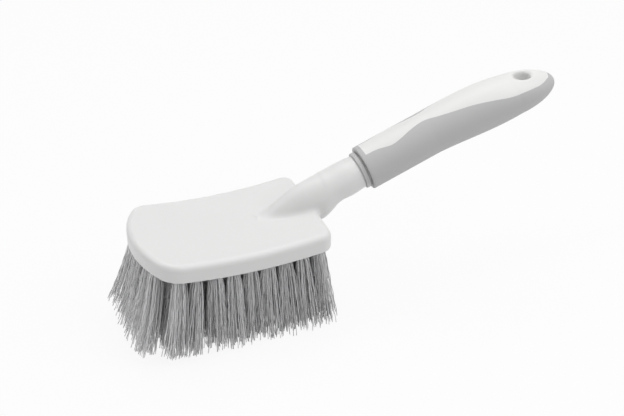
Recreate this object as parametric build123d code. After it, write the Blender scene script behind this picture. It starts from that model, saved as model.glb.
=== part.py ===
from build123d import *
import math
import os

# Scrub brush: a bowed moulded block with a neck, tufts of bristle under it, and a
# hollow handle with a soft overmoulded grip that is pressed onto the neck's spigot.
# Working frame, in mm: X runs from the block to the handle, Y is across, Z is up,
# and zero is the middle of the block's length on its top face.
# The finished set is moved so that the bristle tips stand on Z = 0 and the overall
# box is centred on X and Y.

# ------------------------------------------------------------------ block
block_length = 113.5
front_width = 72.0
rear_width = 73.0
front_bulge = 13.1
rear_bulge = 0.7
front_corner_r = 15.6
rear_corner_r = 7.0
block_thickness = 11.3
bow_radius = 344.0
bow_low_x = 14.0
top_edge_r = 3.7
bottom_edge_r = 0.8

# ------------------------------------------------------------------ tufts
row_count = 10
front_to_row = 9.25
rear_to_row = 7.95
tufts_per_row = 7
side_to_tuft = 6.9
front_row_tufts = 5
face_margin = 4.0
face_plate = 3.0
face_clearance = 0.1
tuft_hole_r = 2.6
tuft_hole_depth = 5.2
plug_clearance = 0.1
anchor_thickness = 0.45
anchor_height = 1.6

# ------------------------------------------------------------------ bristles
strand_side = 1.2
strand_root_ring = 1.75
strand_tip_ring = 3.9
strands_on_ring = 6
root_bite = 1.2
trim_depth = 64.8
trim_radius = 450.0
trim_low_x = 34.0
trim_uneven = 1.3
flat_cut = 0.5
front_lean = 0.42
rear_lean = 0.11
side_lean = 0.10

# ------------------------------------------------------------------ neck and spigot
rear_to_joint = 30.55
joint_z = 16.9
joint_angle = 19.5
neck_end_r = 10.4
neck_r = 11.1
neck_straight = 19.0
neck_wall_foot = 8.6
tongue_length = 34.0
tongue_tops = (-0.9, 7.3, 14.4, 18.4)
tongue_halves = (2.2, 5.9, 8.3, 10.3)
tongue_root = 7.0
tongue_blend_r = 2.5
spigot_r = 8.4
spigot_length = 36.0
spigot_wall = 2.8
neck_bore_depth = 20.0
rib_stand = 0.33
rib_r = 0.9
spigot_chamfer = 1.0

# ------------------------------------------------------------------ handle
ring_r = 11.7
ring_width = 2.9
ring_edge_r = 0.7
groove_width = 1.2
groove_wall = 1.15
socket_clearance = 0.35
handle_length = 137.4
grip_front_r = 14.0
grip_waist_at = 50.0
shoulder_half_width = 14.85
shoulder_half_height = 14.75
palm_half_width = 15.3
palm_half_height = 15.05
tail_length = 29.4
tail_half_width = 14.95
tail_half_height = 13.1
tail_thinning = 2.0
handle_drop = 9.0
lip_r = 0.9
grip_skin = 2.0
core_wall = 1.9
cavity_start_gap = 3.0
hang_hole_r = 5.0
hang_hole_from_end = 21.0
hang_hole_tilt = 8.5
hang_boss_wall = 2.6
hang_rim_r = 2.9
hang_foot_r = 0.8

# ------------------------------------------------------------------ inlay window
inlay_front_at = 6.8
inlay_front_half = 5.8
inlay_bulge_at = 25.0
inlay_bulge_half = 7.7
inlay_waist_at = 46.0
inlay_waist_half = 4.3
inlay_tail_from_end = 37.4
inlay_tail_half = 12.4
inlay_end_gap = 4.9
inlay_root = 5.0


# ------------------------------------------------------------------ section
def oval(half_width, half_height):
    # oval face with its two joints on the X axis, so that lofts never twist
    upper = EllipticalCenterArc((0, 0), half_width, half_height, 0, arc_size=180)
    lower = EllipticalCenterArc((0, 0), half_width, half_height, 180, arc_size=180)
    return make_face(Curve() + [upper, lower])


# ------------------------------------------------------------------ block outline
def block_outline():
    # plan of the block: a bulging front, near-straight sides and rounded corners
    x_front = -block_length / 2
    x_rear = block_length / 2
    front_left = (x_front + front_bulge, -front_width / 2)
    front_right = (x_front + front_bulge, front_width / 2)
    rear_left = (x_rear - rear_bulge, -rear_width / 2)
    rear_right = (x_rear - rear_bulge, rear_width / 2)
    front = ThreePointArc(front_right, (x_front, 0), front_left)
    near = Line(front_left, rear_left)
    rear = ThreePointArc(rear_left, (x_rear, 0), rear_right)
    far = Line(rear_right, front_right)
    plan = make_face(Curve() + [front, near, rear, far])
    front_corners = plan.vertices().filter_by(lambda v: v.X < 0)
    plan = fillet(front_corners, front_corner_r)
    rear_corners = plan.vertices().filter_by(lambda v: v.X > x_rear - rear_bulge - 0.01)
    return fillet(rear_corners, rear_corner_r)


def bow(radius):
    # cylinder across the block whose lowest line follows the lengthwise bow
    return Pos(bow_low_x, 0, bow_radius) * Rot(90, 0, 0) * Cylinder(radius, 3 * rear_width)


def bow_height(x, depth):
    # height of the bowed surface that lies a given depth under the top face
    reach = bow_radius + depth
    return bow_radius - math.sqrt(reach ** 2 - (x - bow_low_x) ** 2)


outline = block_outline()
block_blank = Pos(0, 0, -30) * extrude(outline, 50)
block = block_blank & (bow(bow_radius + block_thickness) - bow(bow_radius))
big_faces = block.faces().sort_by(SortBy.AREA)[-2:]
foot_face, top_face = sorted(big_faces, key=lambda face: face.center().Z)
block = fillet(top_face.edges(), top_edge_r)
big_faces = block.faces().sort_by(SortBy.AREA)[-2:]
foot_face, top_face = sorted(big_faces, key=lambda face: face.center().Z)
block = fillet(foot_face.edges(), bottom_edge_r)

# ------------------------------------------------------------------ neck
# The joint plane's own X is the brush's Y, its Y is up and its Z runs to the handle.
slope = math.radians(joint_angle)
along = Vector(math.cos(slope), 0, math.sin(slope))
joint_x = block_length / 2 + rear_to_joint
joint = Plane(origin=(joint_x, 0, joint_z), x_dir=(0, 1, 0), z_dir=along)


def upright_section(x, top, foot, half_width):
    # ellipse that stands across the brush, from its foot to its top
    where = Plane(origin=(x, 0, (top + foot) / 2), x_dir=(0, 1, 0), z_dir=(1, 0, 0))
    return where * oval(half_width, (top - foot) / 2)


rear_wall_x = block_length / 2
tongue_tip_x = rear_wall_x - tongue_length
tongue_sections = []
for step, (top, half) in enumerate(zip(tongue_tops, tongue_halves)):
    share = step / (len(tongue_tops) - 1)
    x = tongue_tip_x + share * tongue_length
    foot = -tongue_root - (neck_wall_foot - tongue_root) * share
    tongue_sections.append(upright_section(x, top, foot, half))
neck_sections = [tongue_sections[-1]]
for back, radius in ((neck_straight, neck_r), (neck_straight / 2, neck_r), (0, neck_end_r)):
    neck_sections.append(joint.offset(-back) * oval(radius, radius))
neck = loft(tongue_sections) + loft(neck_sections)

# ------------------------------------------------------------------ spigot
spigot = Pos(0, 0, spigot_length / 2) * Cylinder(spigot_r, spigot_length)
spigot = chamfer(spigot.edges().sort_by(Axis.Z)[-1], spigot_chamfer)
rib_span = spigot_length - ring_width - 2 * spigot_chamfer
for turn in (45, 135, 225, 315):
    rib_x = spigot_r + rib_stand - rib_r
    rib = Pos(rib_x, 0, ring_width + rib_span / 2) * Cylinder(rib_r, rib_span)
    spigot += Rot(0, 0, turn) * rib
bore_length = spigot_length + neck_bore_depth
neck_bore = Cylinder(spigot_r - spigot_wall, bore_length)
neck_bore = Pos(0, 0, spigot_length - bore_length / 2) * neck_bore


def at_neck_foot(edge):
    # whether an edge is where the neck rises from the block's bowed top
    spots = [edge @ share for share in (0.05, 0.3, 0.5, 0.7, 0.95)]
    on_top = all(abs(p.Z - bow_height(p.X, 0)) < 0.05 for p in spots)
    return on_top and all(p.X > tongue_tip_x and abs(p.Y) < neck_r for p in spots)


body = block + neck
body = fillet([edge for edge in body.edges() if at_neck_foot(edge)], tongue_blend_r)
head = body + joint.location * spigot
head -= joint.location * neck_bore

# ------------------------------------------------------------------ tuft layout
face_radius = bow_radius + block_thickness
plate_top_radius = face_radius - face_plate


def lean(x, y):
    # sideways travel of a bristle for each millimetre that it hangs down
    reach_x = block_length / 2
    reach_y = front_width / 2
    if x < 0:
        lean_x = -front_lean * (-x / reach_x) ** 2.2
    else:
        lean_x = rear_lean * (x / reach_x) ** 2
    share_y = abs(y) / reach_y
    return Vector(lean_x, math.copysign(side_lean * share_y ** 2, y), -1).normalized()


first_row_x = front_to_row - block_length / 2
row_pitch = (block_length - front_to_row - rear_to_row) / (row_count - 1)
tuft_pitch = (min(front_width, rear_width) - 2 * side_to_tuft) / (tufts_per_row - 1)


def row_places(row):
    # tuft centres of one row, from the near side to the far side
    x = first_row_x + row * row_pitch
    count = front_row_tufts if row == 0 else tufts_per_row
    return [(x, (i - (count - 1) / 2) * tuft_pitch) for i in range(count)]


def trim_height(x):
    # the bristles are trimmed to a shallow arc that follows the bowed block
    return -trim_depth + (x - trim_low_x) ** 2 / (2 * trim_radius)


floor_z = -trim_depth + flat_cut


def uneven(a, b, c):
    # repeatable share between 0 and 1
    return abs(math.sin(12.9898 * a + 78.233 * b + 37.719 * c) * 43758.5453) % 1.0


def strand(row, tuft, number, centre, offset):
    # one bristle strand: a four-sided prism from inside the plate to its trimmed tip
    x, y = centre
    direction = lean(x, y)
    face_z = bow_height(x, block_thickness)
    spread = strand_tip_ring / strand_root_ring
    length = face_z - trim_height(x + direction.X * trim_depth / 2)
    length -= trim_uneven * uneven(row, tuft, number)
    start = Vector(x + offset[0], y + offset[1], face_z) - direction * root_bite
    end = Vector(x + offset[0] * spread, y + offset[1] * spread, face_z) + direction * length
    if end.Z < floor_z:
        end = start + (end - start) * ((floor_z - start.Z) / (end.Z - start.Z))
    turn = 90 * uneven(number, row, tuft) if abs(y + offset[1]) > 0.01 else 0
    base = Pos(*start) * Rot(0, 0, turn) * Rectangle(strand_side, strand_side)
    return Solid.extrude(base.face(), end - start)


def tuft_axis(centre):
    # point where a tuft's axis leaves the plate's back, and its direction upwards
    x, y = centre
    direction = lean(x, y) * -1
    z = bow_height(x, block_thickness - face_plate)
    foot = bow_height(x, block_thickness)
    shift = (z - foot) / direction.Z
    return Vector(x, y, foot) + direction * shift, direction


def on_axis(centre, height, solid):
    # places a solid with its foot a given height up a tuft's axis
    base, direction = tuft_axis(centre)
    where = Plane(origin=base + direction * height, x_dir=(1, 0, 0), z_dir=direction)
    return where.location * solid


inset = offset(outline, amount=-face_margin)
recess = Pos(0, 0, -30) * extrude(inset, 40) - bow(plate_top_radius - face_clearance)
plate_blank = offset(outline, amount=-face_margin - face_clearance)
plate = Pos(0, 0, -30) * extrude(plate_blank, 40) & (bow(face_radius) - bow(plate_top_radius))

plug_height = tuft_hole_depth - anchor_height - face_clearance
hole_tool = Pos(0, 0, (tuft_hole_depth - face_plate) / 2)
hole_tool = hole_tool * Cylinder(tuft_hole_r, tuft_hole_depth + face_plate)
plug_body = Pos(0, 0, (plug_height - face_plate / 2) / 2)
plug_body = plug_body * Cylinder(tuft_hole_r - plug_clearance, plug_height + face_plate / 2)
anchor_width = 2 * math.sqrt((tuft_hole_r - plug_clearance) ** 2 - anchor_thickness ** 2 / 4)
anchor_body = Pos(0, 0, plug_height + anchor_height / 2)
anchor_body = anchor_body * Box(anchor_width, anchor_thickness, anchor_height)

hole_tools = []
for row in range(row_count):
    hole_tools += [on_axis(place, 0, hole_tool) for place in row_places(row)]
head = head - recess - hole_tools

# ------------------------------------------------------------------ tuft rows and anchors
rows = []
anchors = []
for row in range(row_count):
    x_mid = first_row_x + row * row_pitch
    x_low = -block_length if row == 0 else x_mid - row_pitch / 2
    x_high = block_length if row == row_count - 1 else x_mid + row_pitch / 2
    cell = Pos((x_low + x_high) / 2, 0, 0) * Box(x_high - x_low, 2 * rear_width, 80)
    members = []
    for tuft, place in enumerate(row_places(row)):
        if place[1] > 0.01:
            continue
        offsets = [(0, 0)]
        for step in range(strands_on_ring):
            angle = math.radians(360 / strands_on_ring * (step + 0.5))
            offsets.append((strand_root_ring * math.cos(angle), strand_root_ring * math.sin(angle)))
        for number, shift in enumerate(offsets):
            if abs(place[1]) < 0.01 and shift[1] > 0.01:
                continue
            piece = strand(row, tuft, number, place, shift)
            members.append(piece)
            if abs(place[1] + shift[1]) > 0.01:
                members.append(piece.mirror(Plane.XZ))
    members += [on_axis(place, 0, plug_body) for place in row_places(row)]
    rows.append((plate & cell).solids()[0].fuse(*members))
    anchors.append(Compound([on_axis(place, 0, anchor_body).solid() for place in row_places(row)]))

# ------------------------------------------------------------------ handle form
tail_at = handle_length - tail_length
hang_hole_at = handle_length - hang_hole_from_end


def handle_drop_at(s):
    # the handle's middle line runs straight out of the joint, then bends down
    share = max(s - grip_waist_at, 0) / (handle_length - grip_waist_at)
    return -handle_drop * share ** 1.5


def handle_form(shrink, start, end):
    # body of the handle between two stations, drawn in by shrink all round: a round
    # barrel, a palm that swells and a domed tail
    barrel = Pos(0, 0, start) * extrude(Circle(grip_front_r - shrink), grip_waist_at - start)
    halves = [
        (grip_front_r, grip_front_r),
        (shoulder_half_width, shoulder_half_height),
        (palm_half_width, palm_half_height),
        (tail_half_width, tail_half_height),
    ]
    palm_sections = []
    for step, (half_width, half_height) in enumerate(halves):
        s = grip_waist_at + step / (len(halves) - 1) * (tail_at - grip_waist_at)
        section = oval(half_width - shrink, half_height - shrink)
        palm_sections.append(Pos(0, handle_drop_at(s), s) * section)
    tail_sections = []
    for angle in (0, 22, 42, 58, 71, 80):
        reach = math.sin(math.radians(angle))
        draw = math.cos(math.radians(angle))
        s = tail_at + reach * (end - tail_at)
        half_height = tail_half_height - tail_thinning * reach - shrink
        section = oval((tail_half_width - shrink) * draw, half_height * draw)
        tail_sections.append(Pos(0, handle_drop_at(s), s) * section)
    return barrel + loft(palm_sections) + loft(tail_sections)


front_at = ring_width + groove_width
outer_form = handle_form(0, front_at, handle_length)
outer_form = fillet(outer_form.faces().sort_by(Axis.Z)[0].edges(), lip_r)
inner_form = handle_form(grip_skin, front_at + grip_skin, handle_length - grip_skin)
socket_end = spigot_length + cavity_start_gap
cavity_end = handle_length - grip_skin - 2 * core_wall
cavity = handle_form(grip_skin + core_wall, socket_end, cavity_end)

# ------------------------------------------------------------------ inlay window
right_side = [(inlay_front_half, inlay_front_at), (inlay_bulge_half, inlay_bulge_at),
              (inlay_waist_half, inlay_waist_at),
              (inlay_tail_half, handle_length - inlay_tail_from_end),
              (0, handle_length - inlay_end_gap)]
left_side = [(-half, s) for half, s in right_side]
right_edge = Spline(right_side, tangents=((0.35, 1), (-1, 0)))
left_edge = Spline(left_side, tangents=((-0.35, 1), (1, 0)))
front_edge = Line(left_side[0], right_side[0])
window = make_face(Curve() + [front_edge, right_edge, left_edge])
window_plane = Plane(origin=(0, -inlay_root, 0), x_dir=(1, 0, 0), z_dir=(0, -1, 0))
window_prism = extrude(window_plane * window, -4 * grip_front_r)

# ------------------------------------------------------------------ hanging hole
hole_at = Plane(origin=(0, handle_drop_at(hang_hole_at), hang_hole_at),
                x_dir=(1, 0, 0),
                z_dir=(0, math.cos(math.radians(hang_hole_tilt)), math.sin(math.radians(hang_hole_tilt))))
boss_tool = hole_at.location * Cylinder(hang_hole_r + hang_boss_wall, 4 * grip_front_r)
hang_bore = hole_at.location * Cylinder(hang_hole_r, 4 * grip_front_r)

# ------------------------------------------------------------------ core and grip
socket_r = spigot_r + socket_clearance
nose_r = socket_r + groove_wall
nose = Pos(0, 0, ring_width) * extrude(Circle(nose_r), groove_width + grip_skin + 1)
under_skin = inner_form + window_prism + boss_tool
grip = outer_form - under_skin - nose
core = (outer_form & under_skin) + nose
core -= cavity - boss_tool
core -= Pos(0, 0, ring_width) * extrude(Circle(socket_r), socket_end - ring_width + 6)
core -= hang_bore


def rim_of_hole(solid, side):
    # edge where the hanging hole leaves the solid, on its upper or lower side
    found = []
    for edge in solid.edges().filter_by(GeomType.LINE, reverse=True):
        spots = [hole_at.to_local_coords(edge @ share) for share in (0.1, 0.4, 0.8)]
        if all(abs(math.hypot(p.X, p.Y) - hang_hole_r) < 0.05 and p.Z * side > 3 for p in spots):
            found.append(edge)
    return found


core = fillet(rim_of_hole(core, 1), hang_rim_r)
core = fillet(rim_of_hole(core, -1), hang_foot_r)

ring = Pos(0, 0, ring_width / 2) * Cylinder(ring_r, ring_width)
ring = fillet(ring.edges().filter_by(GeomType.CIRCLE), ring_edge_r)
ring -= Cylinder(spigot_r + 0.05, 4 * ring_width)

# ------------------------------------------------------------------ the set
pieces = {
    "brush_head": head,
    "collar_ring": joint.location * ring,
    "handle_core": joint.location * core,
    "soft_grip": joint.location * grip,
}
for row in range(row_count):
    pieces["tuft_row_%02d" % (row + 1)] = rows[row]
    pieces["tuft_anchors_%02d" % (row + 1)] = anchors[row]

box = Compound([s for piece in pieces.values() for s in piece.solids()]).bounding_box()
home = Pos(-(box.min.X + box.max.X) / 2, -(box.min.Y + box.max.Y) / 2, -box.min.Z)

os.makedirs("parts", exist_ok=True)
for name, piece in pieces.items():
    export_step(home * piece, "parts/" + name + ".step")

hole_world = home.position + (joint.location * hole_at.location).position
print("moved by", home.position)
print("hanging hole at", hole_world)
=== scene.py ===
import bmesh
import bpy
import math
import numpy as np
from mathutils import Matrix, Vector
from mathutils.geometry import delaunay_2d_cdt


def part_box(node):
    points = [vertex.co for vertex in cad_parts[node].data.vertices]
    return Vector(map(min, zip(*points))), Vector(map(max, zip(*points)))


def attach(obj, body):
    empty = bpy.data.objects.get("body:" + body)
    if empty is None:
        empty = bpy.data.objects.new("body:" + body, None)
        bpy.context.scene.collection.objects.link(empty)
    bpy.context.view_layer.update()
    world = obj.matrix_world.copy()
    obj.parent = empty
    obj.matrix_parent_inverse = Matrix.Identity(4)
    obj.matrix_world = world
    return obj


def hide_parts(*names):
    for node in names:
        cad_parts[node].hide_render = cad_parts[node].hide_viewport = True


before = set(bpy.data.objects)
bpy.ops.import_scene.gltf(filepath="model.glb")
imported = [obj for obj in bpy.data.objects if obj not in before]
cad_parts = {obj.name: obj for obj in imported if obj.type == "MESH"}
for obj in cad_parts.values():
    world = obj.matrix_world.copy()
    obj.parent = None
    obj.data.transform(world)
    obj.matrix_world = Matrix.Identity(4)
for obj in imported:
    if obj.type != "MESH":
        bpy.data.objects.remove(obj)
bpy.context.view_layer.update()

# ---------------------------------------------------------------- studio
# The photographer's corner of the studio: a white sweep under and behind the brush, soft
# lamps above it and to its left, and a camera about 0.7 m away, above the block's near side.
mm = 0.001
head_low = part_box("brush_head")[0]
block_length = 113.5
trim_depth = 64.3
# Sizes start from the block's middle, at the height of the lowest line of its bowed back.
block_middle = Vector((head_low.x + block_length * mm / 2, 0, trim_depth * mm))
camera_lens = 71.24
camera_sensor = 36
camera_place = (-184.4, -576.9, 413.0)


def placed(points):
    # points given from the block's middle, in mm, as points of the frame, in metres
    return np.asarray(points, float) * mm + np.array(block_middle)


camera_data = bpy.data.cameras.new("camera")
camera_data.sensor_width = camera_sensor
camera_data.lens = camera_lens
camera = bpy.data.objects.new("camera", camera_data)
bpy.context.collection.objects.link(camera)
right = Vector((0.9225, -0.3860, 0.0))
up = Vector((0.2135, 0.5102, 0.8331))
back = right.cross(up)
camera.matrix_world = Matrix((right, up, back)).transposed().to_4x4()
camera.location = Vector(placed(camera_place))
bpy.context.scene.camera = camera

floor_size = 6.0
floor_mesh = bpy.data.meshes.new("floor")
floor_corners = [(-1, -1), (1, -1), (1, 1), (-1, 1)]
floor_points = [(x * floor_size, y * floor_size, 0) for x, y in floor_corners]
floor_mesh.from_pydata(floor_points, [], [(0, 1, 2, 3)])
floor = bpy.data.objects.new("floor", floor_mesh)
bpy.context.collection.objects.link(floor)


def plain_material(name):
    # material with its plain shader, and its nodes and links
    material = bpy.data.materials.new(name)
    material.use_nodes = True
    nodes = material.node_tree.nodes
    return material, nodes, material.node_tree.links, nodes["Principled BSDF"]


def background_rays(nodes, links):
    # 1 for rays that should find the white background: from the camera, or off gloss
    path = nodes.new("ShaderNodeLightPath")
    found = path.outputs["Is Camera Ray"]
    for kind in ("Is Glossy Ray", "Is Transmission Ray"):
        either = nodes.new("ShaderNodeMath")
        either.operation = "MAXIMUM"
        links.new(found, either.inputs[0])
        links.new(path.outputs[kind], either.inputs[1])
        found = either.outputs["Value"]
    return found


# The floor glows for the rays that should find white, and stays paper for the rest, so it
# keeps the brush's shadow.
white_share = 0.9
floor_paper, nodes, links, shader = plain_material("white_sweep")
shader.inputs["Base Color"].default_value = (0.86, 0.86, 0.86, 1)
shader.inputs["Roughness"].default_value = 0.9
glow = nodes.new("ShaderNodeEmission")
glow.inputs["Color"].default_value = (1, 1, 1, 1)
mix = nodes.new("ShaderNodeMixShader")
seen = nodes.new("ShaderNodeMath")
seen.operation = "MULTIPLY"
seen.inputs[1].default_value = white_share
links.new(background_rays(nodes, links), seen.inputs[0])
links.new(seen.outputs["Value"], mix.inputs["Fac"])
links.new(shader.outputs["BSDF"], mix.inputs[1])
links.new(glow.outputs["Emission"], mix.inputs[2])
links.new(mix.outputs["Shader"], nodes["Material Output"].inputs["Surface"])
floor.data.materials.append(floor_paper)

fill_level = 0.36
white_level = 1.0
world = bpy.data.worlds.new("studio")
bpy.context.scene.world = world
world.use_nodes = True
nodes, links = world.node_tree.nodes, world.node_tree.links
surround = nodes["Background"]
surround.inputs["Color"].default_value = (1, 1, 1, 1)
white_seen = nodes.new("ShaderNodeMapRange")
white_seen.inputs["To Min"].default_value = fill_level
white_seen.inputs["To Max"].default_value = white_level
links.new(background_rays(nodes, links), white_seen.inputs["Value"])
links.new(white_seen.outputs["Result"], surround.inputs["Strength"])


lamp_aim = Vector((0, 0, 0.06))


def soft_lamp(name, place, size, power):
    # square lamp that faces the brush, in metres and watts
    data = bpy.data.lights.new(name, "AREA")
    data.shape = "SQUARE"
    data.size = size
    data.energy = power
    lamp = bpy.data.objects.new(name, data)
    bpy.context.collection.objects.link(lamp)
    lamp.location = place
    lamp.rotation_euler = (lamp_aim - Vector(place)).to_track_quat("-Z", "Y").to_euler()


soft_lamp("top_lamp", (0.1, 0.35, 1.3), size=1.1, power=6.5)
soft_lamp("left_lamp", (-0.95, 0.15, 0.85), size=0.3, power=2.0)
soft_lamp("near_lamp", (0.65, -0.6, 1.1), size=1.0, power=6.3)
bpy.context.scene.view_settings.view_transform = "Standard"

# ---------------------------------------------------------------- block and neck
# One injection moulding in off-white polypropylene: a bowed block with a bulging front
# and rounded edges, drilled with blind holes for the tufts, and a neck that grows out of
# its back and ends in the spigot that the handle is pressed onto.
front_width = 72.0
rear_width = 73.0
front_bulge = 13.1
rear_bulge = 0.7
front_corner_r = 15.6
rear_corner_r = 7.0
block_thickness = 11.3
bow_radius = 344.0
bow_low_x = 14.0
top_edge_r = 4.0
bottom_edge_r = 0.8
joint_x = 87.3
joint_z = 16.9
joint_angle = math.radians(19.5)
neck_end_r = 10.4
neck_r = 11.1
neck_straight = 19.0
neck_blend_r = 3.5
spigot_r = 8.4
spigot_length = 36.0
spigot_root = 2.0
spigot_edge_r = 0.8
tongue_length = 34.0
head_cell = 0.7
pull_count = 3
slope_nudge = 0.05

half_length = block_length / 2
rear_wall_x = half_length
tongue_tip_x = rear_wall_x - tongue_length
along = np.array((math.cos(joint_angle), 0, math.sin(joint_angle)))
upward = np.array((-math.sin(joint_angle), 0, math.cos(joint_angle)))
joint = np.array((joint_x, 0, joint_z))


def rounded_cut(a, b, radius):
    # distance to what two solids share, with its edge rounded
    corner = np.hypot(np.maximum(radius + a, 0), np.maximum(radius + b, 0))
    return np.minimum(-radius, np.maximum(a, b)) + corner


def soft_join(a, b, radius):
    # distance to two solids together, with a fillet where they meet
    corner = np.hypot(np.maximum(radius - a, 0), np.maximum(radius - b, 0))
    return np.maximum(radius, np.minimum(a, b)) - corner


def eased(at, knots, values):
    # smooth curve through a few stations
    knots = np.asarray(knots, float)
    values = np.asarray(values, float)
    slopes = np.gradient(values, knots)
    at = np.clip(at, knots[0], knots[-1])
    i = np.clip(np.searchsorted(knots, at) - 1, 0, len(knots) - 2)
    span = knots[i + 1] - knots[i]
    t = (at - knots[i]) / span
    leave = span * slopes[i]
    reach = span * slopes[i + 1]
    start = (2 * t ** 3 - 3 * t ** 2 + 1) * values[i] + (t ** 3 - 2 * t ** 2 + t) * leave
    return start + (3 * t ** 2 - 2 * t ** 3) * values[i + 1] + (t ** 3 - t ** 2) * reach


def corner_share(turn):
    # radius to give rounded_cut where two walls meet at less than a right angle
    return math.tan(turn / 2) * math.sin(turn)


def block_distance(x, y, z):
    # distance to the block without its holes
    front_r = (front_width ** 2 / 4 + front_bulge ** 2) / (2 * front_bulge)
    rear_r = (rear_width ** 2 / 4 + rear_bulge ** 2) / (2 * rear_bulge)
    front = np.hypot(np.minimum(x - (front_r - half_length), 0), y) - front_r
    rear = np.hypot(np.maximum(x - (half_length - rear_r), 0), y) - rear_r
    run = 2 * half_length - front_bulge - rear_bulge
    widening = (rear_width - front_width) / 2 / run
    side = np.abs(y) - front_width / 2 - widening * (x + half_length - front_bulge)
    turn = math.acos(front_width / 2 / front_r)
    front_round = front_corner_r * corner_share(turn)
    plan = rounded_cut(rounded_cut(front, side, front_round), rear, rear_corner_r)
    reach = np.hypot(x - bow_low_x, z - bow_radius)
    top = rounded_cut(plan, bow_radius - reach, top_edge_r)
    return rounded_cut(top, reach - bow_radius - block_thickness, bottom_edge_r)


# Stations of the neck, from the tongue's tip over the web behind the block to the joint:
# place along the brush, top and foot, half width, and the lean of the section.
wall_foot = -8.6
tongue_root = -7.0
tongue_tops = (-0.9, 7.3, 14.4, 18.4)
tongue_halves = (2.2, 5.9, 8.3, 10.3)
web_reach = 4.2
web_top = 19.6
web_foot = -9.6
web_half = 11.5
station_x = []
station_z = []
station_lean = []
station_wide = []
station_tall = []


def add_station(x, top, foot, half, lean=0.0):
    station_x.append(x)
    station_z.append((top + foot) / 2)
    station_lean.append(lean)
    station_wide.append(half)
    station_tall.append((top - foot) / 2)


for step, (top, half) in enumerate(zip(tongue_tops, tongue_halves)):
    share = step / (len(tongue_tops) - 1)
    foot = tongue_root + (wall_foot - tongue_root) * share
    add_station(tongue_tip_x + share * tongue_length, top, foot, half)
add_station(rear_wall_x + web_reach, web_top, web_foot, web_half)
for setback, radius in ((neck_straight, neck_r), (neck_straight / 2, neck_r), (0, neck_end_r)):
    middle = joint - along * setback
    add_station(middle[0], middle[2] + radius, middle[2] - radius, radius, joint_angle)


neck_halvings = 20


def neck_distance(x, y, z):
    # distance to the neck: halving finds the section that a point belongs to
    low = np.full(x.shape, station_x[0])
    high = np.full(x.shape, station_x[-1])
    for step in range(neck_halvings):
        middle = (low + high) / 2
        lean = eased(middle, station_x, station_lean)
        lift = z - eased(middle, station_x, station_z)
        ahead = (x - middle) * np.cos(lean) + lift * np.sin(lean)
        low = np.where(ahead > 0, middle, low)
        high = np.where(ahead > 0, high, middle)
    middle = (low + high) / 2
    lean = eased(middle, station_x, station_lean)
    lift = z - eased(middle, station_x, station_z)
    rise = lift * np.cos(lean) - (x - middle) * np.sin(lean)
    wide = eased(middle, station_x, station_wide)
    tall = eased(middle, station_x, station_tall)
    share = np.hypot(y / wide, rise / tall)
    steep = np.hypot(y / wide ** 2, rise / tall ** 2)
    tube = share * (share - 1) / np.maximum(steep, 1e-6)
    past = (x - joint_x) * along[0] + (z - joint_z) * along[2]
    return np.maximum(np.maximum(tube, past), tongue_tip_x - x)


def spigot_distance(x, y, z):
    # distance to the spigot, which starts a little inside the neck
    past = (x - joint_x) * along[0] + (z - joint_z) * along[2]
    rise = (x - joint_x) * upward[0] + (z - joint_z) * upward[2]
    ends = np.abs(past - (spigot_length - spigot_root) / 2) - (spigot_length + spigot_root) / 2
    return rounded_cut(np.hypot(y, rise) - spigot_r, ends, spigot_edge_r)


# Places of the tufts, which the block's holes and the filaments share. The lean grows
# towards the block's ends and corners.
row_count = 10
first_row_x = -47.5
row_pitch = 10.7
tuft_pitch = 9.7
tufts_per_row = 7
front_row_tufts = 5
tuft_hole_r = 2.6
tuft_hole_depth = 5.2
front_lean = 0.20
front_lean_power = 1.4
rear_lean = 0.09
side_lean = 0.08
corner_lean = 0.40
hole_near_x = 9.0
hole_near_y = 6.0
hole_near_z = 8.0
neck_near = 8.0


def tuft_places(row):
    # where one row's tufts leave the block, and the way they point
    x = first_row_x + row * row_pitch
    count = front_row_tufts if row == 0 else tufts_per_row
    z = bow_radius - math.sqrt((bow_radius + block_thickness) ** 2 - (x - bow_low_x) ** 2)
    ahead = max(-x / half_length, 0)
    lean_x = rear_lean * max(x / half_length, 0) ** 2 - front_lean * ahead ** front_lean_power
    places = []
    for number in range(count):
        y = (number - (count - 1) / 2) * tuft_pitch
        sideways = 2 * abs(y) / front_width
        lean_y = math.copysign(side_lean * sideways ** 2 + corner_lean * sideways * ahead ** 3, y)
        places.append((Vector((x, y, z)), Vector((lean_x, lean_y, -1)).normalized()))
    return places


tufts = [place for row in range(row_count) for place in tuft_places(row)]


def head_distance(p):
    # distance in mm from points to the surface of the moulding, negative inside it
    x, y, z = p[:, 0], p[:, 1], p[:, 2]
    away = block_distance(x, y, z)
    near_neck = x > tongue_tip_x - neck_near
    xn, yn, zn = x[near_neck], y[near_neck], z[near_neck]
    joined = soft_join(away[near_neck], neck_distance(xn, yn, zn), neck_blend_r)
    away[near_neck] = np.minimum(joined, spigot_distance(xn, yn, zn))
    for foot, direction in tufts:
        close = (np.abs(x - foot.x) < hole_near_x) & (np.abs(y - foot.y) < hole_near_y)
        close &= z < foot.z + hole_near_z
        if not close.any():
            continue
        rel = p[close] - np.array(foot)
        down = rel @ np.array(direction)
        radial = np.linalg.norm(rel - down[:, None] * np.array(direction), axis=1)
        hole = np.maximum(radial - tuft_hole_r, -down - tuft_hole_depth)
        away[close] = np.maximum(away[close], -hole)
    return away


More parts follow.
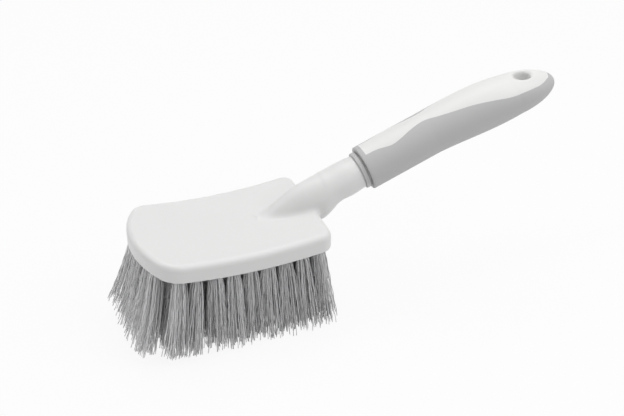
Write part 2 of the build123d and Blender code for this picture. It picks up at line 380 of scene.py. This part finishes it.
def skin_of(distance, low, high, cell):
    # mesh of the surface where a distance is zero: one point in every grid cell that the
    # surface crosses, joined to its neighbours, then pulled onto the surface
    counts = [int(math.ceil((h - l) / cell)) + 1 for l, h in zip(low, high)]
    axes = [low[i] + cell * np.arange(counts[i]) for i in range(3)]
    grid = np.stack(np.meshgrid(*axes, indexing="ij"), axis=-1).reshape(-1, 3)
    value = distance(grid).reshape(counts)
    inside = value < 0
    cells = [n - 1 for n in counts]
    corner = {}
    for start in np.ndindex(2, 2, 2):
        corner[start] = tuple(slice(a, a + n) for a, n in zip(start, cells))
    filled = sum(inside[where].astype(np.int8) for where in corner.values())
    active = (filled > 0) & (filled < 8)
    index = np.full(cells, -1)
    index[active] = np.arange(active.sum())
    total = np.zeros((active.sum(), 3))
    crossings = np.zeros(active.sum())
    for start in corner:
        for axis in range(3):
            if start[axis]:
                continue
            end = tuple(1 if i == axis else s for i, s in enumerate(start))
            va = value[corner[start]][active]
            vb = value[corner[end]][active]
            crossed = (va < 0) != (vb < 0)
            share = np.where(crossed, va / np.where(crossed, va - vb, 1), 0)
            spot = np.tile(np.array(start, float), (len(va), 1))
            spot[:, axis] += share
            total += np.where(crossed[:, None], spot, 0)
            crossings += crossed
    base = np.argwhere(active) + total / crossings[:, None]
    points = np.array(low) + base * cell
    quads = []
    for axis in range(3):
        one, two = [i for i in range(3) if i != axis]
        here = [slice(1, -1)] * 3
        there = [slice(1, -1)] * 3
        here[axis] = slice(0, -1)
        there[axis] = slice(1, None)
        a = inside[tuple(here)]
        b = inside[tuple(there)]
        spots = np.argwhere(a != b)
        outward = a[a != b]
        spots[:, one] += 1
        spots[:, two] += 1
        ring = []
        for d1, d2 in ((1, 1), (0, 1), (0, 0), (1, 0)):
            cell_at = spots.copy()
            cell_at[:, one] -= d1
            cell_at[:, two] -= d2
            ring.append(index[cell_at[:, 0], cell_at[:, 1], cell_at[:, 2]])
        ring = np.stack(ring, axis=1)
        flip = outward if axis != 1 else ~outward
        ring[~flip] = ring[~flip][:, ::-1]
        quads.append(ring)
    for step in range(pull_count):
        away = distance(points)
        slope = np.empty_like(points)
        for axis in range(3):
            nudge = np.zeros(3)
            nudge[axis] = slope_nudge * cell
            rise = distance(points + nudge) - distance(points - nudge)
            slope[:, axis] = rise / (2 * slope_nudge * cell)
        size = np.maximum((slope ** 2).sum(axis=1), 0.25)
        points = points - np.clip(away / size, -cell, cell)[:, None] * slope
    return points, np.concatenate(quads)


def add_piece(name, points, faces, material):
    # links a smooth-shaded mesh, made of points in metres, that rides on the body
    mesh = bpy.data.meshes.new(name)
    corners = [tuple(int(i) for i in face) for face in faces]
    mesh.from_pydata([tuple(p) for p in points], [], corners)
    mesh.validate()
    mesh.shade_smooth()
    mesh.materials.append(material)
    piece = bpy.data.objects.new(name, mesh)
    bpy.context.collection.objects.link(piece)
    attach(piece, "root")
    return piece


def node_group(name, ins, outs):
    # empty shader group with named sockets
    group = bpy.data.node_groups.new(name, "ShaderNodeTree")
    for label, kind, value in ins:
        socket = group.interface.new_socket(name=label, in_out="INPUT", socket_type=kind)
        socket.default_value = value
    for label, kind in outs:
        group.interface.new_socket(name=label, in_out="OUTPUT", socket_type=kind)
    return group, group.nodes.new("NodeGroupInput"), group.nodes.new("NodeGroupOutput")


# Moulded skin: the fine grain of a blasted mould, with faint slow unevenness of tone and
# gloss where the plastic flowed and where hands have rubbed it.
moulded_skin, given, result = node_group(
    "moulded_skin",
    [("Color", "NodeSocketColor", (0.8, 0.8, 0.8, 1)), ("Grain Size", "NodeSocketFloat", 900.0),
     ("Tone Drift", "NodeSocketFloat", 0.02), ("Gloss", "NodeSocketFloat", 0.4),
     ("Gloss Drift", "NodeSocketFloat", 0.06)],
    [("Color", "NodeSocketColor"), ("Roughness", "NodeSocketFloat"),
     ("Height", "NodeSocketFloat")])
nodes, links = moulded_skin.nodes, moulded_skin.links
where = nodes.new("ShaderNodeTexCoord")
slow = nodes.new("ShaderNodeTexNoise")
slow.inputs["Scale"].default_value = 28
slow.inputs["Detail"].default_value = 3
fine = nodes.new("ShaderNodeTexNoise")
fine.inputs["Detail"].default_value = 2
links.new(where.outputs["Object"], slow.inputs["Vector"])
links.new(where.outputs["Object"], fine.inputs["Vector"])
links.new(given.outputs["Grain Size"], fine.inputs["Scale"])
centred = nodes.new("ShaderNodeMath")
centred.operation = "SUBTRACT"
links.new(slow.outputs["Fac"], centred.inputs[0])
centred.inputs[1].default_value = 0.5
drift = nodes.new("ShaderNodeMath")
drift.operation = "MULTIPLY"
links.new(centred.outputs["Value"], drift.inputs[0])
links.new(given.outputs["Tone Drift"], drift.inputs[1])
tone = nodes.new("ShaderNodeMath")
tone.operation = "ADD"
tone.inputs[1].default_value = 1.0
links.new(drift.outputs["Value"], tone.inputs[0])
tinted = nodes.new("ShaderNodeVectorMath")
tinted.operation = "SCALE"
links.new(given.outputs["Color"], tinted.inputs[0])
links.new(tone.outputs["Value"], tinted.inputs["Scale"])
links.new(tinted.outputs["Vector"], result.inputs["Color"])
dulled = nodes.new("ShaderNodeMath")
dulled.operation = "MULTIPLY_ADD"
links.new(centred.outputs["Value"], dulled.inputs[0])
links.new(given.outputs["Gloss Drift"], dulled.inputs[1])
links.new(given.outputs["Gloss"], dulled.inputs[2])
links.new(dulled.outputs["Value"], result.inputs["Roughness"])
links.new(fine.outputs["Fac"], result.inputs["Height"])


grain_depth = 0.0001


def moulded_material(name, color, grain, drift, gloss, gloss_drift, bump):
    # moulded plastic, rubber or drawn metal: the moulded skin over a plain shader
    material, nodes, links, shader = plain_material(name)
    skin = nodes.new("ShaderNodeGroup")
    skin.node_tree = moulded_skin
    skin.inputs["Color"].default_value = (*color, 1)
    skin.inputs["Grain Size"].default_value = grain
    skin.inputs["Tone Drift"].default_value = drift
    skin.inputs["Gloss"].default_value = gloss
    skin.inputs["Gloss Drift"].default_value = gloss_drift
    links.new(skin.outputs["Color"], shader.inputs["Base Color"])
    links.new(skin.outputs["Roughness"], shader.inputs["Roughness"])
    relief = nodes.new("ShaderNodeBump")
    relief.inputs["Strength"].default_value = bump
    relief.inputs["Distance"].default_value = grain_depth
    links.new(skin.outputs["Height"], relief.inputs["Height"])
    links.new(relief.outputs["Normal"], shader.inputs["Normal"])
    return material


block_plastic = moulded_material(
    "off_white_polypropylene", (0.80, 0.80, 0.795), grain=900, drift=0.03, gloss=0.34,
    gloss_drift=0.05, bump=0.03)
wall_room = 1.5
under_room = 3.0
end_room = 4.0
over_room = 2.0
spigot_end = joint + along * spigot_length
box_low = (-half_length - wall_room, -rear_width / 2 - wall_room, -block_thickness - under_room)
box_high = (
    spigot_end[0] + end_room, rear_width / 2 + wall_room, spigot_end[2] + spigot_r + over_room)
head_points, head_faces = skin_of(head_distance, box_low, box_high, head_cell)
head = add_piece("block_and_neck", placed(head_points), head_faces, block_plastic)
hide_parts("brush_head")

# ---------------------------------------------------------------- collar ring
# Narrow ring moulded in grey plastic, pushed onto the spigot against the neck before the
# handle goes on. It keeps its CAD shape.
ring_plastic = moulded_material(
    "grey_ring_plastic", (0.56, 0.56, 0.56), grain=700, drift=0.04, gloss=0.42,
    gloss_drift=0.06, bump=0.15)
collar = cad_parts["collar_ring"]
collar.data.materials.clear()
collar.data.materials.append(ring_plastic)
collar.data.shade_smooth()

# ---------------------------------------------------------------- handle form
# The handle is one long form, split along a curved window into the hard core, which shows
# as the pale inlay on top, and the soft grip moulded over the rest of it. Places on it are
# flat points: how far along its skin, and how far round it at the girth's radius.
ring_width = 2.9
groove_width = 0.9
groove_r = 9.9
handle_length = 137.4
grip_front_r = 14.0
grip_waist_at = 50.0
palm_wide = (14.0, 14.85, 15.3, 14.95)
palm_tall = (14.0, 14.75, 15.05, 13.1)
tail_at = 108.0
tail_thinning = 2.0
handle_drop = 9.0
lip_r = 0.5
grip_skin = 2.0
front_at = ring_width + groove_width
tail_span = handle_length - tail_at
skin_end = tail_at + math.pi / 2 * tail_span
girth = 14.0
across = np.array((0, 1.0, 0))


def through_palm(values, s):
    # the curve through four even stations that the palm's loft follows
    t = (s - grip_waist_at) / (tail_at - grip_waist_at) * 3
    a, b, c, d = values
    return (a * (t - 1) * (t - 2) * (t - 3) / -6 + b * t * (t - 2) * (t - 3) / 2
            + c * t * (t - 1) * (t - 3) / -2 + d * t * (t - 1) * (t - 2) / 6)


def handle_section(q, shrink):
    # station, drop and half sizes where q runs along the handle's skin to its end
    q = np.asarray(q, float)
    turn = np.clip((q - tail_at) / tail_span, 0, math.pi / 2)
    s = np.where(q > tail_at, tail_at + (tail_span - shrink) * np.sin(turn), q)
    share = np.maximum(s - grip_waist_at, 0) / (handle_length - grip_waist_at)
    drop = -handle_drop * share ** 1.5
    palm_s = np.clip(s, grip_waist_at, tail_at)
    wide = through_palm(palm_wide, palm_s) - shrink
    tall = through_palm(palm_tall, palm_s) - tail_thinning * np.sin(turn) - shrink
    return s, drop, wide * np.cos(turn), tall * np.cos(turn)


def on_handle(q, angle, shrink=0.0):
    # points of the handle's skin, in mm from the block's middle; angle 0 is its top
    s, drop, wide, tall = handle_section(q, shrink)
    y = wide * np.sin(angle)
    u = drop + tall * np.cos(angle)
    return joint + s[:, None] * along + u[:, None] * upward + y[:, None] * across


def skin_place(s, shrink=0.0):
    # how far along the skin, or a depth under it, the stations of the handle lie
    share = np.clip((s - tail_at) / (tail_span - shrink), 0, 1)
    return np.where(s > tail_at, tail_at + tail_span * np.arcsin(share), s)


# Stations of the window along the handle, and its half width at each: it waists twice,
# swells over the palm and closes in a round end.
window_at = (
    6.8, 14.0, 24.3, 30.4, 38.8, 48.0, 56.7, 66.8, 77.0,
    92.0, 101.0, 110.0, 118.5, 125.0, 130.0, 133.0, 134.6)
window_half = (
    5.8, 6.1, 7.9, 7.1, 5.2, 4.3, 6.3, 8.2, 9.6,
    11.8, 12.8, 12.7, 11.8, 10.0, 7.0, 4.0, 0.0)


def window_angle(q):
    # half the angle that the inlay takes up at a place along the skin
    s, _, wide, _ = handle_section(q, 0.0)
    half = np.maximum(eased(s, window_at, window_half), 0)
    half = np.where(s > window_at[-1], 0, half)
    return np.arcsin(np.clip(half / np.maximum(wide, 1e-3), 0, 0.999))


row_spacing = 0.9
border_gap = 0.6
same_point = 1e-7


def meshed(outline, loops, step, keep):
    # triangles over a flat region: its outline, the loops inside it and even points
    points = [Vector(p) for p in outline]
    edges = [(i, (i + 1) % len(outline)) for i in range(len(outline))]
    for loop in loops:
        start = len(points)
        points += [Vector(p) for p in loop]
        edges += [(start + i, start + (i + 1) % len(loop)) for i in range(len(loop))]
    border = np.array([tuple(p) for p in points])
    low = border.min(axis=0)
    high = border.max(axis=0)
    rows_x = np.arange(low[0] + step / 2, high[0], step)
    rows_y = np.arange(low[1] + step / 2, high[1], step * row_spacing)
    inner = []
    for number, y in enumerate(rows_y):
        shifted = rows_x + (step / 2 if number % 2 else 0)
        row = np.stack([shifted, np.full(len(shifted), y)], axis=1)
        gap = np.sqrt(((row[:, None, :] - border[None, :, :]) ** 2).sum(axis=2)).min(axis=1)
        row = row[gap > border_gap * step]
        inner.append(row[keep(row)])
    points += [Vector(p) for p in np.concatenate(inner)]
    verts, _, faces, _, _, _ = delaunay_2d_cdt(points, edges, [], 0, same_point)
    verts = np.array([tuple(v) for v in verts])
    faces = np.array([tuple(f) for f in faces])
    middle = verts[faces].mean(axis=1)
    return verts, faces[keep(middle)]


# ---------------------------------------------------------------- hanging hole
# Round hole through the handle's tail for a hook, lined by the hard core. Its soft rim is
# drawn out towards the palm on top, and is small and even underneath.
hang_hole_r = 5.0
hang_hole_at = 116.4
hang_hole_tilt = math.radians(8.5)
hang_boss_r = 7.6
hang_rim_front = 6.0
hang_rim_back = 3.2
hang_rim_across = 2.0
hang_rim_deep = 3.0
hang_foot_r = 0.9
loop_count = 72
loop_turn = 2 * math.pi * np.arange(loop_count) / loop_count
hole_halvings = 40
hole_reach = 30.0

hole_axis = math.cos(hang_hole_tilt) * upward + math.sin(hang_hole_tilt) * along
hole_ahead = np.cross(across, hole_axis)
hole_share = (hang_hole_at - grip_waist_at) / (handle_length - grip_waist_at)
hole_middle = joint + hang_hole_at * along - handle_drop * hole_share ** 1.5 * upward


def around_hole(radius, side, shrink=0.0):
    # where a tube round the hole's axis meets the skin above (1) or below (-1) its middle:
    # places along the skin and angles round it
    sideways = (radius * np.cos(loop_turn))[:, None] * across
    start = hole_middle + sideways + (radius * np.sin(loop_turn))[:, None] * hole_ahead
    near = np.zeros(loop_count)
    far = np.full(loop_count, hole_reach * side)
    for step in range(hole_halvings):
        reach = (near + far) / 2
        p = start + reach[:, None] * hole_axis - joint
        q = skin_place(p @ along, shrink)
        _, drop, wide, tall = handle_section(q, shrink)
        sideways = p[:, 1] / np.maximum(wide, 1e-3)
        outside = np.hypot(sideways, (p @ upward - drop) / np.maximum(tall, 1e-3)) > 1
        far = np.where(outside, reach, far)
        near = np.where(outside, near, reach)
    p = start + reach[:, None] * hole_axis - joint
    angle = np.arctan2(p[:, 1] / wide, (p @ upward - drop) / tall)
    return q, angle


def rim_width(ahead, front_r, back_r, across_r):
    # width of the rounded rim where ahead, from -1 to 1, says how much it faces the tail
    reach = np.where(ahead < 0, front_r, back_r)
    return across_r + (reach - across_r) * np.abs(ahead) ** 3


def rim_drop(points, front_r, back_r, across_r, deep):
    # points with those near the hole sunk along its axis, so that its rim is rounded
    rel = points - hole_middle
    height = rel @ hole_axis
    flat = rel - height[:, None] * hole_axis
    radial = np.linalg.norm(flat, axis=1)
    ahead = (flat @ hole_ahead) / np.maximum(radial, 1e-6)
    width = rim_width(ahead, front_r, back_r, across_r)
    reach = np.clip((hang_hole_r + width - radial) / width, 0, 1)
    fall = deep * (1 - np.sqrt(np.maximum(1 - reach ** 2, 0)))
    return points - (np.sign(height) * fall)[:, None] * hole_axis


def inside_loop(points, loop):
    # which flat points lie inside a closed loop
    x, y = points[:, 0], points[:, 1]
    crossings = np.zeros(len(points), int)
    for (x1, y1), (x2, y2) in zip(loop, np.roll(loop, -1, axis=0)):
        if y1 == y2:
            continue
        spans = (y1 > y) != (y2 > y)
        crossings += spans & (x < (x2 - x1) * (y - y1) / (y2 - y1) + x1)
    return crossings % 2 == 1


def flat_loop(radius, side, shrink=0.0, turned=False):
    # the same loop as flat points; turned counts angles from 0 to a full turn
    q, angle = around_hole(radius, side, shrink)
    if turned:
        angle = np.where(angle < 0, angle + 2 * math.pi, angle)
    return np.stack([q, girth * angle], axis=1)


class Shell:
    # collects patches of points and faces into one mesh
    def __init__(self):
        self.points = []
        self.faces = []
        self.count = 0

    def add(self, points, faces):
        self.points.append(np.asarray(points))
        self.faces += [tuple(int(i) + self.count for i in f) for f in faces]
        self.count += len(points)

    def strip(self, one, two):
        # band of quads between two closed rows of points
        n = len(one)
        quads = [(i, (i + 1) % n, n + (i + 1) % n, n + i) for i in range(n)]
        self.add(np.concatenate([one, two]), quads)


crisp_angle = math.radians(50)
weld_gap = 0.00002
shortest_edge = 0.00001


def welded_piece(name, shell, material):
    # piece made of a shell's patches, joined where their borders meet
    piece = add_piece(name, placed(np.concatenate(shell.points)), shell.faces, material)
    work = bmesh.new()
    work.from_mesh(piece.data)
    bmesh.ops.remove_doubles(work, verts=work.verts, dist=weld_gap)
    bmesh.ops.dissolve_degenerate(work, edges=work.edges, dist=shortest_edge)
    bmesh.ops.recalc_face_normals(work, faces=work.faces)
    work.to_mesh(piece.data)
    work.free()
    piece.data.shade_smooth()
    piece.data.set_sharp_from_angle(angle=crisp_angle)
    return piece


window_start = window_at[0]
window_close = float(skin_place(window_at[-1]))
edge_step = 0.8
fill_step = 1.1
under_step = 2.0
close_run = 6
close_count = 16


def edge_line(start, end):
    # places along the window's edge, closer together towards its round end
    close = end - close_run * (1 - np.linspace(0, 1, close_count)) ** 2
    return np.concatenate([np.arange(start, end - close_run, edge_step), close])


# ---------------------------------------------------------------- hard core
# Hard moulding in off-white polypropylene that takes the spigot. Its top shows through the
# grip as a long inlay, flush with it, and its tail carries the hanging hole.
core_plastic = moulded_material(
    "off_white_core", (0.83, 0.83, 0.82), grain=800, drift=0.03, gloss=0.36,
    gloss_drift=0.08, bump=0.15)
socket_r = 8.75
socket_end = 39.0
full_turn = 2 * math.pi * girth
front_row_count = 16
round_row_count = 90
tail_line_count = 24
tail_end_gap = 0.02
# Shares of a rim's width at which a loop of points goes round the hole, on top and below.
rim_steps = (0.003, 0.03, 0.08, 0.16, 0.27, 0.42, 0.6, 0.8, 1.0)
foot_steps = (0.003, 0.1, 0.3, 0.6, 1.0)

line = edge_line(window_start, window_close)
half_angle = window_angle(line)
right_edge = np.stack([line, girth * half_angle], axis=1)
left_edge = np.stack([line, -girth * half_angle], axis=1)[::-1]
front_row = np.linspace(left_edge[-1], right_edge[0], front_row_count)[1:-1]
inlay_outline = np.concatenate([right_edge, left_edge[1:], front_row])
top_width = rim_width(np.sin(loop_turn), hang_rim_front, hang_rim_back, hang_rim_across)
rim_loops = [flat_loop(hang_hole_r + top_width * step, 1) for step in rim_steps]


def top_rim(points):
    # points of the top with the hole's wide rim
    return rim_drop(points, hang_rim_front, hang_rim_back, hang_rim_across, hang_rim_deep)


def foot_rim(points):
    # points of the underside with the hole's small rim
    return rim_drop(points, hang_foot_r, hang_foot_r, hang_foot_r, hang_foot_r)


def on_skin(flat, shrink=0.0):
    # flat points as points of the handle's skin, or of a depth under it
    return on_handle(flat[:, 0], flat[:, 1] / girth, shrink)


def on_inlay(p):
    # whether flat points lie in the window, outside the hole
    within = (np.abs(p[:, 1]) < girth * window_angle(p[:, 0])) & (p[:, 0] > window_start)
    return within & ~inside_loop(p, rim_loops[0])


# The skin outside the window, from the window's edge round the back to its other edge.
tail_line = np.linspace(window_close, skin_end - tail_end_gap, tail_line_count)[1:]
tail_top = np.stack([tail_line, np.zeros(len(tail_line))], axis=1)
low_edge = np.concatenate([right_edge, tail_top])
high_edge = np.stack([low_edge[:, 0], full_turn - low_edge[:, 1]], axis=1)[::-1]
end_row = np.linspace(low_edge[-1], high_edge[0], round_row_count)[1:-1]
start_row = np.linspace(high_edge[-1], low_edge[0], round_row_count)[1:-1]
outer_outline = np.concatenate([low_edge, end_row, high_edge, start_row])
boss_loop = flat_loop(hang_boss_r, -1, turned=True)
boss_root = flat_loop(hang_boss_r, -1, grip_skin, turned=True)
band_angles = np.concatenate([
    front_row[:, 1], low_edge[:1, 1], start_row[::-1, 1], high_edge[-1:, 1]]) / girth


def outside_window(loop):
    # test for flat points outside the window and outside the boss round the hole
    def found(p):
        edge = girth * window_angle(p[:, 0])
        within = (p[:, 1] > edge) & (p[:, 1] < full_turn - edge) & (p[:, 0] > window_start)
        return within & ~inside_loop(p, loop)
    return found


def add_band(shell, stations):
    # rings round the handle's front, each at a place along it and a depth under its skin
    count = len(band_angles)
    rings = [on_handle(np.full(count, at), band_angles, shrink) for at, shrink in stations]
    for one, two in zip(rings, rings[1:]):
        shell.strip(one, two)
    return rings[-1]


core = Shell()
flat, faces = meshed(inlay_outline, rim_loops, fill_step, on_inlay)
core.add(top_rim(on_skin(flat)), faces)
core.strip(on_skin(inlay_outline), on_skin(inlay_outline, grip_skin))
flat, faces = meshed(outer_outline, [boss_root], under_step, outside_window(boss_root))
under_skin = (on_skin(flat, grip_skin), faces)
core.add(*under_skin)
foot_loops = []
for step in foot_steps:
    loop = flat_loop(hang_hole_r + hang_foot_r * step, -1)
    foot_loops.append(foot_rim(on_skin(loop)))
foot_loops += [on_skin(boss_loop), on_skin(boss_root, grip_skin)]
bore = [top_rim(on_skin(rim_loops[0]))] + foot_loops
for one, two in zip(bore, bore[1:]):
    core.strip(one, two)
nose_depth = grip_front_r - groove_r
socket_depth = grip_front_r - socket_r
shoulder_at = front_at + grip_skin
bottom = add_band(core, [
    (window_start, grip_skin), (shoulder_at, grip_skin), (shoulder_at, nose_depth),
    (ring_width, nose_depth), (ring_width, socket_depth), (socket_end, socket_depth)])
count = len(bottom)
bottom_fan = [(i, (i + 1) % count, count) for i in range(count)]
core.add(np.concatenate([bottom, [bottom.mean(axis=0)]]), bottom_fan)
inlay = welded_piece("handle_core_and_inlay", core, core_plastic)
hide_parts("handle_core")

# ---------------------------------------------------------------- soft grip
# Mid-grey thermoplastic rubber moulded over the core in a second shot, with a matt, finely
# grained skin. It has a rounded lip at the front and wraps the tail round the inlay.
grip_rubber = moulded_material(
    "grey_grip_rubber", (0.53, 0.53, 0.53), grain=1400, drift=0.05, gloss=0.55,
    gloss_drift=0.1, bump=0.35)
lip_steps = 7
grip = Shell()
flat, faces = meshed(outer_outline, [boss_loop], fill_step, outside_window(boss_loop))
grip.add(on_skin(flat), faces)
grip.add(*under_skin)
grip.strip(on_skin(inlay_outline), on_skin(inlay_outline, grip_skin))
grip.strip(on_skin(boss_loop), on_skin(boss_root, grip_skin))
lip = []
for turn in np.linspace(0, math.pi / 2, lip_steps):
    lip.append((front_at + lip_r * (1 - math.sin(turn)), lip_r * (1 - math.cos(turn))))
add_band(grip, [(window_start, 0.0)] + lip + [
    (front_at, nose_depth), (shoulder_at, nose_depth), (shoulder_at, grip_skin),
    (window_start, grip_skin)])
soft_grip = welded_piece("soft_grip_skin", grip, grip_rubber)
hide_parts("soft_grip")

# ---------------------------------------------------------------- tufts
# Stiff crimped polypropylene filaments in mixed greys, folded double and stapled into the
# block's holes in rows. Each tuft spreads as it leaves its hole. The front ones are bent
# outward by use, and all are trimmed to a shallow arc.
filaments_per_tuft = 80
filament_r = 0.27
filament_sides = 3
filament_steps = 22
filament_length = 56.0
crimp_height = 0.22
crimp_length = 3.4
crimp_run = 6.0
tuft_root_r = 2.35
tuft_fan = 0.045
tuft_swing = 0.018
tuft_puff = 2.0
puff_run = 3.5
front_sweep = 6.0
loose_swing = 0.022
loose_bend = 1.1
sunk = 2.5
trim_radius = 520.0
trim_low_x = 34.0
trim_uneven = 1.7
tips_at = -trim_depth
tip_room = 0.05
widest = rear_width / 2 + 0.6
widest_bend = 1.5
farthest_front = half_length + 10.5
filament_tones = (0.66, 0.78, 0.88, 0.96)
tone_shares = (0.2, 0.3, 0.3, 0.2)
tone_spread = 0.1
blue_cast = 1.01
rng = np.random.default_rng(7)

bristle_plastic, nodes, links, shader = plain_material("crimped_grey_filament")
shade = nodes.new("ShaderNodeAttribute")
shade.attribute_name = "filament_tone"
links.new(shade.outputs["Color"], shader.inputs["Base Color"])
shader.inputs["Roughness"].default_value = 0.45


def tuft_filaments(foot, direction):
    # points and tones of one tuft's filaments
    lines = []
    tones = []
    side = Vector((0, 1, 0)).cross(direction).normalized()
    other = direction.cross(side)
    direction = (direction + Vector(rng.normal(0, tuft_swing, 3))).normalized()
    sweep = front_sweep * max(-foot.x / half_length, 0) ** front_lean_power
    for number in range(filaments_per_tuft):
        turn = rng.uniform(0, 2 * math.pi)
        reach = math.sqrt(rng.uniform(0, 1))
        outward = side * (reach * math.cos(turn)) + other * (reach * math.sin(turn))
        offset = outward * tuft_root_r
        swing = Vector(rng.normal(0, loose_swing, 3))
        way = (direction + outward * tuft_fan + swing).normalized()
        base = foot + offset - direction * sunk
        past_low = foot.x + way.x * filament_length - trim_low_x
        trim = tips_at + past_low ** 2 / (2 * trim_radius)
        tip_z = max(trim, foot.z + filament_length * way.z) + abs(rng.normal(0, trim_uneven))
        length = (base.z - tip_z) / -way.z
        past_side = abs(base.y + way.y * length) - widest
        if past_side > 0:
            way.y -= math.copysign(past_side / length, way.y)
        past_front = sweep - (base.x + way.x * length) - farthest_front
        if past_front > 0:
            way.x += past_front / length
        steps = np.linspace(0, 1, filament_steps)
        phase = rng.uniform(0, 2 * math.pi)
        crimp_way = Vector(rng.normal(0, 1, 3)).cross(way).normalized()
        bend = Vector(rng.normal(0, 1, 3)).cross(way).normalized() * rng.normal(0, loose_bend)
        run = steps * length
        fade = np.clip(run / crimp_run, 0, 1)
        wave = crimp_height * np.sin(2 * math.pi * run / crimp_length + phase) * fade
        line = np.array(base) + np.outer(run, way) + np.outer(wave, crimp_way)
        line += np.outer(steps ** 2, bend)
        line[:, 0] -= sweep * steps ** 2
        spread = 1 - np.exp(-np.maximum(run - sunk, 0) / puff_run)
        line += np.outer(spread, outward * tuft_puff)
        line[:, 1] = np.clip(line[:, 1], -widest - widest_bend, widest + widest_bend)
        line[:, 2] = np.maximum(line[:, 2], tips_at + tip_room)
        lines.append(line)
        tone = rng.choice(filament_tones, p=tone_shares)
        tones.append(tone * rng.uniform(1 - tone_spread, 1 + tone_spread))
    return lines, tones


tube_guide = np.array((1.0, 0.2, 0.0))


def tube_mesh(lines, radius, sides):
    # thin tubes along lines of points, closed at both ends
    points = []
    faces = []
    count = 0
    for line in lines:
        way = np.gradient(line, axis=0)
        way /= np.linalg.norm(way, axis=1)[:, None]
        side = np.cross(way, tube_guide)
        side /= np.linalg.norm(side, axis=1)[:, None]
        other = np.cross(way, side)
        n = len(line)
        for k in range(sides):
            a = 2 * math.pi * k / sides
            points.append(line + radius * (math.cos(a) * side + math.sin(a) * other))
        for k in range(sides):
            one = count + k * n
            two = count + (k + 1) % sides * n
            faces += [(one + i, two + i, two + i + 1, one + i + 1) for i in range(n - 1)]
        faces.append(tuple(count + k * n for k in reversed(range(sides))))
        faces.append(tuple(count + k * n + n - 1 for k in range(sides)))
        count += sides * n
    return np.concatenate(points), faces


for row in range(row_count):
    lines = []
    tones = []
    for foot, direction in tuft_places(row):
        more_lines, more_tones = tuft_filaments(foot, direction)
        lines += more_lines
        tones += more_tones
    points, faces = tube_mesh(lines, filament_r, filament_sides)
    name = "bristle_row_%02d" % (row + 1)
    piece = add_piece(name, placed(points), faces, bristle_plastic)
    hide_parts("tuft_row_%02d" % (row + 1))
    layer = piece.data.color_attributes.new("filament_tone", "FLOAT_COLOR", "POINT")
    per_point = np.repeat(np.array(tones), filament_sides * filament_steps)
    opaque = np.ones(len(per_point))
    colors = np.stack([per_point, per_point, per_point * blue_cast, opaque], axis=1)
    layer.data.foreach_set("color", colors.astype(np.float32).ravel())

# ---------------------------------------------------------------- staple anchors
# Flat bits of drawn steel wire, driven across each blind hole over the folded filaments.
# They keep their CAD shape, because the holes hide them.
anchor_steel = moulded_material(
    "drawn_steel", (0.6, 0.59, 0.57), grain=1800, drift=0.08, gloss=0.3,
    gloss_drift=0.1, bump=0.1)
anchor_steel.node_tree.nodes["Principled BSDF"].inputs["Metallic"].default_value = 1.0
for row in range(row_count):
    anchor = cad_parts["tuft_anchors_%02d" % (row + 1)]
    anchor.data.materials.clear()
    anchor.data.materials.append(anchor_steel)
